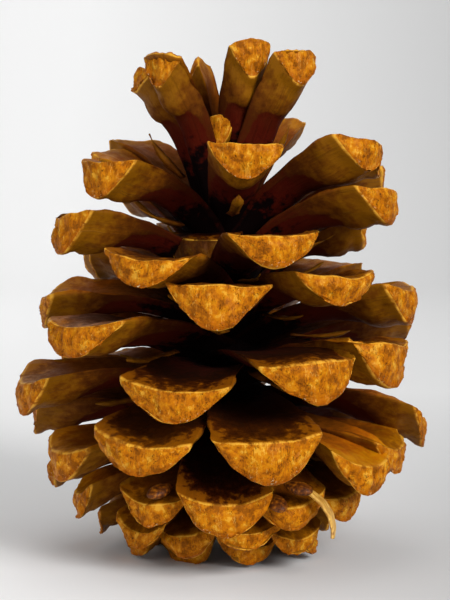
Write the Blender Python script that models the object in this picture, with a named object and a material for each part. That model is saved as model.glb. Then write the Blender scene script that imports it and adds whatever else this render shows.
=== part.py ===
"""An open pine cone standing on its base, with two bare seeds and a winged seed still lodged in it.

The cone is one woody piece: a spindle that carries scales on a spiral, each one turned by the golden
angle from the scale below it. Metres, +Z up, -Y is the front. The origin is on the surface that the
cone stands on, at the middle of its footprint.
"""

import math
import random

import bmesh
import bpy
from mathutils import Euler, Matrix, Vector

# The spiral. A turn is measured from the front, and is positive towards the right-hand side.
SCALE_COUNT = 87
GOLDEN_ANGLE = 137.508
FIRST_TURN = -38.4
SHAPE_SEED = 11
AXIS_X = 0.0002
AXIS_Y = 0.0008
ROOT_RADIUS = 0.0015

# How the scales change from the base of the cone to its tip, in millimetres. Each line gives the
# place along the spiral from 0 to 1, the root's height, the rim's distance from the axis, the
# rim's height, the half width at the rim, the height of the end face, and how far the blade arches up
# between its root and its rim.
STATIONS = (
    (0.000, 8.0, 12.5, 1.2, 5.5, 3.0, 0.7),
    (0.050, 10.0, 16.0, 1.4, 5.7, 3.2, 0.9),
    (0.093, 12.0, 19.8, 4.9, 6.0, 3.5, 1.1),
    (0.174, 15.5, 24.4, 9.5, 6.3, 3.9, 1.4),
    (0.267, 19.5, 29.0, 15.5, 6.8, 4.3, 1.6),
    (0.360, 24.5, 32.6, 23.5, 8.3, 4.9, 1.7),
    (0.453, 30.0, 35.6, 33.5, 9.1, 5.3, 1.9),
    (0.547, 36.0, 36.2, 45.0, 8.6, 5.5, 1.9),
    (0.640, 42.5, 35.0, 55.6, 7.8, 5.7, 2.4),
    (0.733, 49.5, 32.6, 65.0, 7.0, 5.9, 3.2),
    (0.826, 55.0, 27.0, 73.0, 5.8, 6.0, 2.6),
    (0.860, 57.5, 20.6, 81.5, 4.8, 6.2, 1.8),
    (0.919, 61.5, 13.6, 87.6, 3.8, 6.4, 1.5),
    (0.942, 62.5, 11.6, 84.0, 3.0, 5.0, 1.3),
    (1.000, 65.0, 6.5, 75.0, 2.2, 4.0, 0.8),
)

# The end face stands upright however far its scale leans out. Its lower edge, the keel, lies this
# much nearer to the axis than its rim, and the scale is never thinner than this at its end.
FACE_LEAN = 0.0004
LEAST_DEPTH = 0.0026

# The natural unevenness of the scales, as the largest change either way.
TILT_SPREAD = 3.0
TURN_SPREAD = 4.0
ROLL_SPREAD = 6.0
LENGTH_SPREAD = 0.03

# The scales that stand out of the rule: how far each one is turned and lifted, in degrees, then its
# reach and the height of its end face as shares of the rule's.
ODD_SCALES = {
    0: (0.0, 2.5, 1.00, 1.00),
    1: (0.0, 1.0, 1.00, 1.00),
    2: (0.0, -2.0, 1.00, 1.00),
    3: (0.0, 3.0, 0.95, 0.94),
    4: (0.0, -2.5, 1.00, 1.00),
    5: (0.0, 5.0, 1.06, 1.00),
    8: (-2.0, 2.0, 0.99, 0.91),
    10: (0.0, 1.0, 1.12, 1.15),
    11: (8.0, -5.0, 0.98, 0.80),
    13: (3.0, -10.0, 0.99, 0.82),
    14: (0.0, 3.0, 0.95, 1.00),
    16: (7.0, -10.0, 1.00, 0.82),
    18: (2.0, -5.0, 1.02, 1.10),
    19: (0.0, 2.0, 0.97, 1.00),
    21: (-2.0, -3.0, 0.96, 0.91),
    23: (12.0, 0.0, 1.12, 1.00),
    24: (-1.0, -13.0, 0.95, 0.84),
    26: (0.0, 4.0, 1.06, 1.00),
    27: (0.0, 1.0, 1.02, 1.00),
    29: (15.0, -15.0, 0.98, 1.02),
    31: (-2.0, 3.0, 1.06, 0.98),
    32: (6.0, -14.0, 1.04, 1.00),
    34: (17.0, -6.0, 1.05, 0.75),
    35: (1.0, -10.5, 1.05, 1.05),
    36: (0.0, 5.0, 1.00, 1.00),
    37: (5.0, -16.0, 1.01, 0.83),
    38: (0.0, -2.0, 1.00, 1.00),
    39: (0.0, -7.5, 1.00, 1.00),
    40: (-3.0, 3.0, 0.98, 1.15),
    41: (0.0, 3.0, 1.00, 1.00),
    42: (6.0, -11.0, 0.99, 0.73),
    43: (0.0, 5.0, 1.00, 1.00),
    44: (0.0, -3.0, 0.80, 1.00),
    45: (-5.0, -12.0, 0.98, 0.75),
    47: (13.0, -8.0, 0.98, 0.75),
    48: (-2.0, 1.0, 0.95, 1.03),
    50: (-2.0, 2.0, 0.98, 0.97),
    51: (0.0, -4.5, 0.92, 1.00),
    52: (-3.0, -8.5, 0.85, 0.96),
    53: (-16.0, -5.5, 0.93, 0.80),
    55: (12.0, -2.0, 1.01, 0.80),
    56: (0.0, 9.0, 0.80, 1.00),
    57: (0.0, -3.0, 0.74, 1.00),
    58: (1.0, -4.0, 0.99, 0.74),
    60: (1.0, 0.0, 0.93, 1.05),
    61: (-2.0, 5.0, 0.93, 0.90),
    63: (-10.0, 0.0, 0.35, 1.00),
    65: (0.0, 15.0, 0.86, 1.00),
    66: (14.0, 4.0, 1.05, 0.88),
    68: (4.0, -5.0, 0.99, 0.96),
    69: (0.0, 1.0, 0.94, 0.90),
    70: (0.0, -3.0, 0.93, 1.00),
    71: (5.0, -7.0, 0.98, 0.93),
    72: (9.0, 1.0, 0.95, 0.90),
    73: (0.0, 18.0, 1.00, 0.60),
    74: (-12.0, 10.0, 1.12, 0.92),
    75: (0.0, 0.0, 0.85, 0.90),
    76: (-11.0, 2.0, 1.09, 0.92),
    77: (0.0, 6.0, 0.92, 0.80),
    78: (0.0, 18.0, 0.88, 0.80),
    79: (-2.0, 0.0, 1.00, 0.92),
    80: (0.0, 0.0, 0.75, 1.00),
    81: (0.0, 0.0, 0.85, 1.00),
    83: (0.0, 0.0, 0.85, 1.00),
    84: (0.0, 0.0, 0.80, 1.00),
}

# The scales whose upper face is filled out towards the rim, and how far: at 1 the rim is level.
FILLED = {29: 0.4, 34: 0.5, 37: 1.0, 40: 0.3, 42: 0.6, 45: 0.9, 47: 0.4, 50: 0.6}

# One scale. Its grid lines are shares of its length and of its half width.
SCALE_ROWS = (0.0, 0.36, 0.7, 1.0)
SCALE_COLUMNS = (-1.0, -0.58, 0.0, 0.58, 1.0)

# Its outline: the width of the claw as a share of the rim's, and how far the rim's ends sweep back.
CLAW_WIDTH = 0.56
SPREAD_POWER = 1.15
RIM_SWEEP = 0.35
RIM_POWER = 2.2

# Its section: the cup across it, and the swelling into the thick end face.
CUP = 0.27
FILL_START = 0.3
SWELL_START = 0.42
KEEL_POWER = 1.8
BLADE_THICKNESS = 0.0034
EDGE_THICKNESS = 0.0013

# The spindle in the middle, from the stalk scar up, as radius and height in millimetres.
SPINDLE = (
    (3.6, 3.4),
    (4.0, 6.0),
    (5.0, 12.0),
    (5.6, 22.0),
    (5.4, 36.0),
    (4.6, 50.0),
    (3.4, 62.0),
    (1.8, 66.0),
)
SPINDLE_SIDES = 10

# The seeds. A place is the middle of the seed in millimetres, then its turn about X and about Z in degrees.
SEED_LENGTH = 0.0052
SEED_WIDTH = 0.0030
SEED_THICKNESS = 0.0019
SEED_TAPER = 0.75
SEED_RINGS = 7
SEED_SIDES = 10
BARE_SEEDS = {
    "seed_1": ((-10.14, -22.13, 14.91), 20.0, 45.0),
    "seed_2": ((8.39, -24.98, 13.54), 20.0, 110.0),
}
WINGED_SEED = ((11.75, -23.56, 15.66), 20.0, 150.0)

# The wing's centre line from the middle of its seed, and its width at each point, in millimetres.
WING_LINE = (
    (0.6, 0.0, 0.0),
    (2.3, 0.0, -0.9),
    (4.0, 0.1, -2.4),
    (5.2, 0.3, -4.4),
    (5.7, 0.6, -6.6),
    (5.6, 0.9, -8.2),
)
WING_WIDTHS = (1.8, 3.0, 3.8, 4.0, 3.2, 1.6)
WING_ACROSS = (0.3, 1.0, 0.1)
WING_THICKNESS = 0.0007

# Colours as linear red, green and blue, then roughness.
DRY_WOOD = ((0.27, 0.095, 0.008), 0.6)
SEED_COAT = ((0.12, 0.025, 0.002), 0.5)
DRY_WING = ((0.45, 0.25, 0.08), 0.5)


def millimetres(value):
    return value * 0.001


def clear_scene():
    for obj in list(bpy.data.objects):
        bpy.data.objects.remove(obj)


def add_object(name, mesh, collection=None):
    obj = bpy.data.objects.new(name, mesh)
    (collection or bpy.context.scene.collection).objects.link(obj)
    return obj


def mesh_from(body, name):
    """Turn a bmesh into a mesh, and free it."""
    mesh = bpy.data.meshes.new(name)
    body.to_mesh(mesh)
    body.free()
    return mesh


def finish(obj, material_name, look):
    """Give a piece its own material: dry, matt and not metallic."""
    colour, roughness = look
    material = bpy.data.materials.new(material_name)
    material.use_nodes = True
    shader = material.node_tree.nodes["Principled BSDF"]
    shader.inputs["Base Color"].default_value = (*colour, 1.0)
    shader.inputs["Roughness"].default_value = roughness
    shader.inputs["Metallic"].default_value = 0.0
    obj.data.materials.clear()
    obj.data.materials.append(material)


def combine(target, operation, operand):
    """Apply one exact Boolean to the target. The operand is an object, or a collection of them."""
    step = target.modifiers.new(operation.lower(), "BOOLEAN")
    step.operation = operation
    step.solver = "EXACT"
    if isinstance(operand, bpy.types.Collection):
        step.operand_type = "COLLECTION"
        step.collection = operand
    else:
        step.object = operand
    bpy.context.view_layer.update()
    result = bpy.data.meshes.new_from_object(target.evaluated_get(bpy.context.evaluated_depsgraph_get()))
    target.modifiers.clear()
    target.data = result


def station(share):
    """The six sizes of a scale at this place along the spiral, in metres, read between two stations."""
    for low, high in zip(STATIONS, STATIONS[1:]):
        if share <= high[0]:
            break
    part = (share - low[0]) / (high[0] - low[0])
    return [millimetres(a + (b - a) * part) for a, b in zip(low[1:], high[1:])]


def seat(index):
    """Where a scale sits: its frame, and its length, half width, arch, face depth, jut and filling."""
    draw = random.Random(SHAPE_SEED * 1000 + index)
    root_height, rim_radius, rim_height, half_width, face, arch = station(index / (SCALE_COUNT - 1))
    odd_turn, odd_lift, reach, odd_face = ODD_SCALES.get(index, (0.0, 0.0, 1.0, 1.0))
    run, rise = rim_radius - ROOT_RADIUS, rim_height - root_height
    tilt = math.degrees(math.atan2(rise, run)) + draw.uniform(-TILT_SPREAD, TILT_SPREAD) + odd_lift
    turn = FIRST_TURN + index * GOLDEN_ANGLE + draw.uniform(-TURN_SPREAD, TURN_SPREAD) + odd_turn
    roll = draw.uniform(-ROLL_SPREAD, ROLL_SPREAD)
    length = reach * math.hypot(run, rise) * (1 + draw.uniform(-LENGTH_SPREAD, LENGTH_SPREAD))
    heading = math.radians(turn - 90)
    outwards = Vector((math.cos(heading), math.sin(heading), 0))
    root = Vector((AXIS_X, AXIS_Y, root_height)) + ROOT_RADIUS * outwards
    turned = Euler((math.radians(roll), math.radians(-tilt), heading)).to_matrix().to_4x4()
    face_depth = max(odd_face * face * math.cos(math.radians(tilt)), LEAST_DEPTH)
    jut = -odd_face * face * math.sin(math.radians(tilt)) - FACE_LEAN
    sizes = (length, half_width, arch, face_depth, jut, FILLED.get(index, 0.0))
    return Matrix.Translation(root) @ turned, sizes


def smooth_step(low, high, value):
    part = min(1.0, max(0.0, (value - low) / (high - low)))
    return part * part * (3 - 2 * part)


def upper_point(along, across, length, half_width, arch, fill=0.0):
    """A point of the scale's upper face, in its own frame: X runs out to the rim and Z up."""
    rim = length - RIM_SWEEP * half_width * abs(across) ** RIM_POWER
    spread = CLAW_WIDTH + (1 - CLAW_WIDTH) * along**SPREAD_POWER
    rise = arch * 4 * along * (1 - along)
    filled = fill * (1 - across**2) * smooth_step(FILL_START, 1.0, along)
    cup = CUP * half_width * spread**2 * (across**2 + filled)
    return Vector((along * rim, across * spread * half_width, rise + cup))


def lower_point(along, across, length, half_width, arch, face_depth, jut):
    """The point of the lower face under upper_point. The scale swells into its thick end face."""
    swell = smooth_step(SWELL_START, 1.0, along)
    keel = 1 - abs(across) ** KEEL_POWER
    middle = BLADE_THICKNESS + (face_depth - BLADE_THICKNESS) * swell
    depth = EDGE_THICKNESS + (middle - EDGE_THICKNESS) * keel
    return upper_point(along, across, length, half_width, arch) + Vector((jut * keel * swell, 0, -depth))


def scale_mesh(name, length, half_width, arch, face_depth, jut, fill):
    """One closed scale: a grid for its upper face, another for its lower face, and the edge between them."""
    grid = [(along, across) for along in SCALE_ROWS for across in SCALE_COLUMNS]
    points = [upper_point(*place, length, half_width, arch, fill) for place in grid]
    points += [lower_point(*place, length, half_width, arch, face_depth, jut) for place in grid]
    rows, columns = len(SCALE_ROWS), len(SCALE_COLUMNS)
    under = rows * columns
    faces = []

    def quad(a, b, c, d):
        faces.extend(((a, b, c), (a, c, d)))

    for i in range(rows - 1):
        for j in range(columns - 1):
            near, far = i * columns + j, (i + 1) * columns + j
            quad(near, far, far + 1, near + 1)
            quad(under + near + 1, under + far + 1, under + far, under + near)
    last = (rows - 1) * columns
    for j in range(columns - 1):
        quad(last + j, under + last + j, under + last + j + 1, last + j + 1)
        quad(j, j + 1, under + j + 1, under + j)
    for i in range(rows - 1):
        near, far = i * columns, (i + 1) * columns
        quad(near, under + near, under + far, far)
        near, far = near + columns - 1, far + columns - 1
        quad(near, far, under + far, under + near)
    mesh = bpy.data.meshes.new(name)
    mesh.from_pydata(points, [], faces)
    return mesh


def add_spindle(name):
    """The axis of the cone, turned from its outline."""
    body = bmesh.new()
    outline = [(AXIS_X + millimetres(radius), AXIS_Y, millimetres(height)) for radius, height in SPINDLE]
    bottom = (AXIS_X, AXIS_Y, outline[0][2])
    top = (AXIS_X, AXIS_Y, outline[-1][2])
    line = [body.verts.new(point) for point in (bottom, *outline, top)]
    edges = [body.edges.new(pair) for pair in zip(line, line[1:])]
    centre = (AXIS_X, AXIS_Y, 0)
    bmesh.ops.spin(body, geom=line + edges, cent=centre, axis=(0, 0, 1), angle=math.tau, steps=SPINDLE_SIDES)
    bmesh.ops.remove_doubles(body, verts=body.verts, dist=1e-6)
    bmesh.ops.recalc_face_normals(body, faces=body.faces)
    return add_object(name, mesh_from(body, name))


def keep_outer_skin(obj):
    """Fill the closed hollows that the union leaves between scales: only the largest shell stays."""
    body = bmesh.new()
    body.from_mesh(obj.data)
    shells, seen = [], set()
    for start in body.verts:
        if start in seen:
            continue
        shell, front = [], [start]
        seen.add(start)
        while front:
            vert = front.pop()
            shell.append(vert)
            for edge in vert.link_edges:
                other = edge.other_vert(vert)
                if other not in seen:
                    seen.add(other)
                    front.append(other)
        shells.append(shell)
    shells.sort(key=len)
    for shell in shells[:-1]:
        bmesh.ops.delete(body, geom=shell, context="VERTS")
    body.to_mesh(obj.data)
    body.free()


def cut_flat(obj):
    """Cut the lowest scale ends off level, so that the cone stands on small flat spots at height zero."""
    body = bmesh.new()
    width, depth = 0.12, 0.02
    below = Matrix.Translation((0, 0, -depth / 2)) @ Matrix.Diagonal((width, width, depth, 1))
    bmesh.ops.create_cube(body, size=1.0, matrix=below)
    ground = add_object("ground", mesh_from(body, "ground"))
    combine(obj, "DIFFERENCE", ground)
    bpy.data.objects.remove(ground)


def add_cone(name):
    """The cone itself: the spindle and all its scales, fused into one solid."""
    scales = bpy.data.collections.new("scales")
    bpy.context.scene.collection.children.link(scales)
    for index in range(SCALE_COUNT):
        frame, sizes = seat(index)
        scale = add_object(f"scale_{index}", scale_mesh(f"scale_{index}", *sizes), scales)
        scale.matrix_world = frame
    cone = add_spindle(name)
    combine(cone, "UNION", scales)
    for scale in list(scales.objects):
        bpy.data.objects.remove(scale)
    bpy.data.collections.remove(scales)
    keep_outer_skin(cone)
    cut_flat(cone)
    finish(cone, "dry_wood", DRY_WOOD)


def add_seed(name, middle, tip, turn):
    """A seed, flattened and drawn to a point at one end. Its long axis is X before it is turned."""
    body = bmesh.new()
    bmesh.ops.create_uvsphere(body, u_segments=SEED_SIDES, v_segments=SEED_RINGS, radius=0.5)
    for vert in body.verts:
        y, z, x = vert.co
        narrow = 1 - SEED_TAPER * max(0.0, x) ** 1.3
        vert.co = Vector((x * SEED_LENGTH, y * narrow * SEED_WIDTH, z * narrow * SEED_THICKNESS))
    mesh = mesh_from(body, name)
    lie = Matrix.Rotation(math.radians(tip), 4, "X") @ Matrix.Rotation(math.radians(turn), 4, "Z")
    mesh.transform(Matrix.Translation(Vector(middle) * 0.001) @ lie)
    mesh.shade_smooth()
    return add_object(name, mesh)


def wing_mesh(name):
    """A seed's wing: a thin blade along its centre line, widest in the middle and closed at both ends."""
    line = [Vector(point) * 0.001 for point in WING_LINE]
    side = Vector(WING_ACROSS).normalized()
    points, faces = [], []
    for i, middle in enumerate(line):
        ahead = line[min(i + 1, len(line) - 1)] - line[max(i - 1, 0)]
        through = ahead.cross(side).normalized() * WING_THICKNESS / 2
        half = side * millimetres(WING_WIDTHS[i]) / 2
        near, far = middle - half, middle + half
        points += [near - through, near + through, far + through, far - through]
    for ring in range(0, len(points) - 4, 4):
        for p, q in ((0, 1), (1, 2), (2, 3), (3, 0)):
            faces += [(ring + p, ring + 4 + p, ring + 4 + q), (ring + p, ring + 4 + q, ring + q)]
    last = len(points) - 4
    faces += [(0, 1, 2), (0, 2, 3), (last, last + 2, last + 1), (last, last + 3, last + 2)]
    mesh = bpy.data.meshes.new(name)
    mesh.from_pydata(points, [], faces)
    return mesh


def add_seeds():
    for name, place in BARE_SEEDS.items():
        finish(add_seed(name, *place), f"{name}_coat", SEED_COAT)
    seed = add_seed("winged_seed", *WINGED_SEED)
    wing = add_object("wing", wing_mesh("wing"))
    wing.data.transform(Matrix.Translation(Vector(WINGED_SEED[0]) * 0.001))
    combine(seed, "UNION", wing)
    bpy.data.objects.remove(wing)
    finish(seed, "dry_wing", DRY_WING)


def main():
    clear_scene()
    add_cone("pine_cone")
    add_seeds()


if __name__ == "__main__":
    main()
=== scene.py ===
# %% [markdown]
# # An open pine cone, from its growth rule to its dry, resinous finish
#
# A pine cone is one woody piece. Its scales sit on a spindle along a spiral, each one turned by the
# golden angle from the scale below it. This lesson grows the cone again, finer than the solid model
# that comes with it, and then gives the wood its colours. All lengths are in metres, +Z is up, and
# -Y is the front.

import math
import random

import bmesh
import bpy
import numpy as np
from mathutils import Euler, Matrix, Vector


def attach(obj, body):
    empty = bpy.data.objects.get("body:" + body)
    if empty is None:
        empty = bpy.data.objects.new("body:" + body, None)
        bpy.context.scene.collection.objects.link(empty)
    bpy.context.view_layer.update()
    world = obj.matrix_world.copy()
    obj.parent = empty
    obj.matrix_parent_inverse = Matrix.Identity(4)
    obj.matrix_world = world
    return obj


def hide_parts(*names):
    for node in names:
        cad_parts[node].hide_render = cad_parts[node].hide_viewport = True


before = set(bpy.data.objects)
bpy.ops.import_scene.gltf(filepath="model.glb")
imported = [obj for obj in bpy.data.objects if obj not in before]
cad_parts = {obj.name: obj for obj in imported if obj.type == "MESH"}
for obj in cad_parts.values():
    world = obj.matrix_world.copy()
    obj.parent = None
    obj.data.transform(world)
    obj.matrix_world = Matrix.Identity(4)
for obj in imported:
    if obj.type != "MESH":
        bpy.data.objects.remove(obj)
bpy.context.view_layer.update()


# %% [markdown]
# ## Small tools
#
# Colours are picked on a screen, so they are written as sRGB hex values, and one function turns them
# into the linear values that Blender works with. One more function adds a node, with its settings
# and its links, to a shader tree or to a Geometry Nodes tree alike. With these two, a whole tree
# reads like a recipe, from the top down.

# %% Colours, and one way to add a node
MATH = "ShaderNodeMath"
VECTOR_MATH = "ShaderNodeVectorMath"
COMBINE = "ShaderNodeCombineXYZ"
NOISE = "ShaderNodeTexNoise"
RANGE = "ShaderNodeMapRange"
RAMP = "ShaderNodeValToRGB"
MIX = "ShaderNodeMix"
READ = "GeometryNodeInputNamedAttribute"


def linear(colour):
    """A hex colour such as '#bd7408' as linear red, green, blue and alpha."""
    parts = [int(colour[i : i + 2], 16) / 255 for i in (1, 3, 5)]
    return (*(c / 12.92 if c <= 0.04045 else ((c + 0.055) / 1.055) ** 2.4 for c in parts), 1.0)


def add(tree, kind, inputs=None, stops=(), **settings):
    """Add a node with its settings, its links and, on a colour ramp, its stops.

    Each input is a value, a socket, or another node, whose first working output then feeds it.
    """
    node = tree.nodes.new(kind)
    for name, value in settings.items():
        setattr(node, name, value)
    for key, value in (inputs or {}).items():
        if isinstance(value, bpy.types.Node):
            value = next(socket for socket in value.outputs if socket.enabled)
        if isinstance(value, bpy.types.NodeSocket):
            tree.links.new(value, node.inputs[key])
        else:
            node.inputs[key].default_value = value
    while stops and len(node.color_ramp.elements) < len(stops):
        node.color_ramp.elements.new(0.5)
    if stops:
        for element, (place, colour) in zip(node.color_ramp.elements, stops):
            element.position = place
            element.color = linear(colour)
    return node


def new_material(name):
    """A material with an empty node tree, and that tree."""
    material = bpy.data.materials.new(name)
    material.use_nodes = True
    material.node_tree.nodes.clear()
    return material, material.node_tree


def new_mesh_object(name, mesh):
    """An object at the origin that holds this mesh, in the scene."""
    obj = bpy.data.objects.new(name, mesh)
    bpy.context.scene.collection.objects.link(obj)
    return obj


# %% [markdown]
# ## The camera comes first
#
# The photograph looks at the middle of the cone from a little above. A long lens keeps the near
# scales from swelling. The distance puts the whole cone in the frame with a narrow margin.

# %% Camera
AXIS = Vector((0.0002, 0.0008, 0.0))
LOOK_HEIGHT = 0.0434
CAMERA_DISTANCE = 0.312
CAMERA_ELEVATION = math.radians(5)
LENS = 110

camera = bpy.data.objects.new("camera", bpy.data.cameras.new("camera"))
bpy.context.scene.collection.objects.link(camera)
camera.data.lens = LENS
towards_camera = Vector((0, -math.cos(CAMERA_ELEVATION), math.sin(CAMERA_ELEVATION)))
camera.location = AXIS + Vector((0, 0, LOOK_HEIGHT)) + CAMERA_DISTANCE * towards_camera
camera.rotation_euler = (-towards_camera).to_track_quat("-Z", "Y").to_euler()
bpy.context.scene.camera = camera
print("camera:", [round(x, 4) for x in camera.location])


# %% [markdown]
# ## Where each scale sits
#
# Real cones follow a simple rule: the same turn from scale to scale, while the size, the reach and
# the lift of the scales change smoothly from the base to the tip. A table gives those sizes at
# fifteen stations. Some scales stand out of the rule, because no real cone is perfect. Each could be
# placed by hand instead, but a rule gives the unseen sides the same order as the front. It is the
# rule that the solid model was built with, so the fine scales land where the solid ones are.

# %% The growth rule
SCALE_COUNT = 87
GOLDEN_ANGLE = 137.508
FIRST_TURN = -38.4
SHAPE_SEED = 11
ROOT_RADIUS = 0.0015
TILT_SPREAD = 3.0
TURN_SPREAD = 4.0
ROLL_SPREAD = 6.0
LENGTH_SPREAD = 0.03

# Share of the spiral, then in mm: root height, rim radius, rim height, half width, height of the end
# face, and arch of the blade.
STATIONS = (
    (0.000, 8.0, 12.5, 1.2, 5.5, 3.0, 0.7),
    (0.050, 10.0, 16.0, 1.4, 5.7, 3.2, 0.9),
    (0.093, 12.0, 19.8, 4.9, 6.0, 3.5, 1.1),
    (0.174, 15.5, 24.4, 9.5, 6.3, 3.9, 1.4),
    (0.267, 19.5, 29.0, 15.5, 6.8, 4.3, 1.6),
    (0.360, 24.5, 32.6, 23.5, 8.3, 4.9, 1.7),
    (0.453, 30.0, 35.6, 33.5, 9.1, 5.3, 1.9),
    (0.547, 36.0, 36.2, 45.0, 8.6, 5.5, 1.9),
    (0.640, 42.5, 35.0, 55.6, 7.8, 5.7, 2.4),
    (0.733, 49.5, 32.6, 65.0, 7.0, 5.9, 3.2),
    (0.826, 55.0, 27.0, 73.0, 5.8, 6.0, 2.6),
    (0.860, 57.5, 20.6, 81.5, 4.8, 6.2, 1.8),
    (0.919, 61.5, 13.6, 87.6, 3.8, 6.4, 1.5),
    (0.942, 62.5, 11.6, 84.0, 3.0, 5.0, 1.3),
    (1.000, 65.0, 6.5, 75.0, 2.2, 4.0, 0.8),
)
FACE_LEAN = 0.0004
LEAST_DEPTH = 0.0026

# The scales that stand out of the rule: added turn and lift in degrees, then their reach and the
# height of their end face as shares of the rule's.
ODD_SCALES = {
    0: (0.0, 2.5, 1.00, 1.00),
    1: (0.0, 1.0, 1.00, 1.00),
    2: (0.0, -2.0, 1.00, 1.00),
    3: (0.0, 3.0, 0.95, 0.94),
    4: (0.0, -2.5, 1.00, 1.00),
    5: (0.0, 5.0, 1.06, 1.00),
    8: (-2.0, 2.0, 0.99, 0.91),
    10: (0.0, 1.0, 1.12, 1.15),
    11: (8.0, -5.0, 0.98, 0.80),
    13: (3.0, -10.0, 0.99, 0.82),
    14: (0.0, 3.0, 0.95, 1.00),
    16: (7.0, -10.0, 1.00, 0.82),
    18: (2.0, -5.0, 1.02, 1.10),
    19: (0.0, 2.0, 0.97, 1.00),
    21: (-2.0, -3.0, 0.96, 0.91),
    23: (12.0, 0.0, 1.12, 1.00),
    24: (-1.0, -13.0, 0.95, 0.84),
    26: (0.0, 4.0, 1.06, 1.00),
    27: (0.0, 1.0, 1.02, 1.00),
    29: (15.0, -15.0, 0.98, 1.02),
    31: (-2.0, 3.0, 1.06, 0.98),
    32: (6.0, -14.0, 1.04, 1.00),
    34: (17.0, -6.0, 1.05, 0.75),
    35: (1.0, -10.5, 1.05, 1.05),
    36: (0.0, 5.0, 1.00, 1.00),
    37: (5.0, -16.0, 1.01, 0.83),
    38: (0.0, -2.0, 1.00, 1.00),
    39: (0.0, -7.5, 1.00, 1.00),
    40: (-3.0, 3.0, 0.98, 1.15),
    41: (0.0, 3.0, 1.00, 1.00),
    42: (6.0, -11.0, 0.99, 0.73),
    43: (0.0, 5.0, 1.00, 1.00),
    44: (0.0, -3.0, 0.80, 1.00),
    45: (-5.0, -12.0, 0.98, 0.75),
    47: (13.0, -8.0, 0.98, 0.75),
    48: (-2.0, 1.0, 0.95, 1.03),
    50: (-2.0, 2.0, 0.98, 0.97),
    51: (0.0, -4.5, 0.92, 1.00),
    52: (-3.0, -8.5, 0.85, 0.96),
    53: (-16.0, -5.5, 0.93, 0.80),
    55: (12.0, -2.0, 1.01, 0.80),
    56: (0.0, 9.0, 0.80, 1.00),
    57: (0.0, -3.0, 0.74, 1.00),
    58: (1.0, -4.0, 0.99, 0.74),
    60: (1.0, 0.0, 0.93, 1.05),
    61: (-2.0, 5.0, 0.93, 0.90),
    63: (-10.0, 0.0, 0.35, 1.00),
    65: (0.0, 15.0, 0.86, 1.00),
    66: (14.0, 4.0, 1.05, 0.88),
    68: (4.0, -5.0, 0.99, 0.96),
    69: (0.0, 1.0, 0.94, 0.90),
    70: (0.0, -3.0, 0.93, 1.00),
    71: (5.0, -7.0, 0.98, 0.93),
    72: (9.0, 1.0, 0.95, 0.90),
    73: (0.0, 18.0, 1.00, 0.60),
    74: (-12.0, 10.0, 1.12, 0.92),
    75: (0.0, 0.0, 0.85, 0.90),
    76: (-11.0, 2.0, 1.09, 0.92),
    77: (0.0, 6.0, 0.92, 0.80),
    78: (0.0, 18.0, 0.88, 0.80),
    79: (-2.0, 0.0, 1.00, 0.92),
    80: (0.0, 0.0, 0.75, 1.00),
    81: (0.0, 0.0, 0.85, 1.00),
    83: (0.0, 0.0, 0.85, 1.00),
    84: (0.0, 0.0, 0.80, 1.00),
}


def station(share):
    """The six sizes of a scale at this place along the spiral, in metres."""
    shares = [row[0] for row in STATIONS]
    return [float(np.interp(share, shares, [row[i] for row in STATIONS])) * 0.001 for i in range(1, 7)]


def seat(index):
    """Where a scale sits: its root and turn, and its length, half width, arch, depth and jut."""
    draw = random.Random(SHAPE_SEED * 1000 + index)
    root_height, rim_radius, rim_height, half_width, face, arch = station(index / (SCALE_COUNT - 1))
    odd_turn, odd_lift, reach, odd_face = ODD_SCALES.get(index, (0.0, 0.0, 1.0, 1.0))
    run, rise = rim_radius - ROOT_RADIUS, rim_height - root_height
    tilt = math.degrees(math.atan2(rise, run)) + draw.uniform(-TILT_SPREAD, TILT_SPREAD) + odd_lift
    turn = FIRST_TURN + index * GOLDEN_ANGLE + draw.uniform(-TURN_SPREAD, TURN_SPREAD) + odd_turn
    roll = draw.uniform(-ROLL_SPREAD, ROLL_SPREAD)
    length = reach * math.hypot(run, rise) * (1 + draw.uniform(-LENGTH_SPREAD, LENGTH_SPREAD))
    heading = math.radians(turn - 90)
    outwards = Vector((math.cos(heading), math.sin(heading), 0))
    root = AXIS + Vector((0, 0, root_height)) + ROOT_RADIUS * outwards
    turned = Euler((math.radians(roll), math.radians(-tilt), heading)).to_quaternion()
    # The end face stands upright, however far the scale leans out.
    depth = max(odd_face * face * math.cos(math.radians(tilt)), LEAST_DEPTH)
    jut = -odd_face * face * math.sin(math.radians(tilt)) - FACE_LEAN
    return root, turned, length, half_width, arch, depth, jut


print(SCALE_COUNT, "scales,", len(ODD_SCALES), "of them out of the rule")


# %% [markdown]
# ## One scale, as a sum of shapes
#
# Every scale has the same anatomy: a narrow claw at the spindle, a blade that spreads, and a thick
# woody end face. The end face has a sharp rim on top, a keel across it, and a small blunt boss, the
# umbo, on the keel. Only the amounts differ. So the pattern scale doesn't store one shape. Each of
# its points stores how far it moves for every metre of length, of width, of arch, of depth and of
# jut. Adding these up, much as shape keys are added, gives every scale its own proportions, and
# nothing is stretched: a rim is as sharp on a small scale as on a large one.

# %% The pattern scale's sizes
# As the solid scale's: shares of its length and width, powers of its curves, and metres.
RIM_SWEEP = 0.35
RIM_POWER = 2.2
CLAW_WIDTH = 0.56
SPREAD_POWER = 1.15
CUP = 0.27
KEEL_POWER = 1.8
BLADE_THICKNESS = 0.0034

# The fine scale differs from the solid one in these, all in metres or as shares.
THIN_EDGE = 0.0007
FACET_START = 0.42
FACET_FULL = 0.88
FACE_BULGE = 0.1
HOLLOW_DEPTH = 0.0006
LIP_HEIGHT = 0.0004
UMBO_HEIGHT = 0.0003
WORN_BACK = 0.0013

AROUND = 64
BLADE_RINGS = 24
END_RINGS = 12
UMBO_PLACE = 0.8


# %% The pattern scale's points
def smooth_step(low, high, value):
    """0 up to low, 1 from high on, and a soft S between them."""
    part = np.clip((value - low) / (high - low), 0, 1)
    return part * part * (3 - 2 * part)


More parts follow.
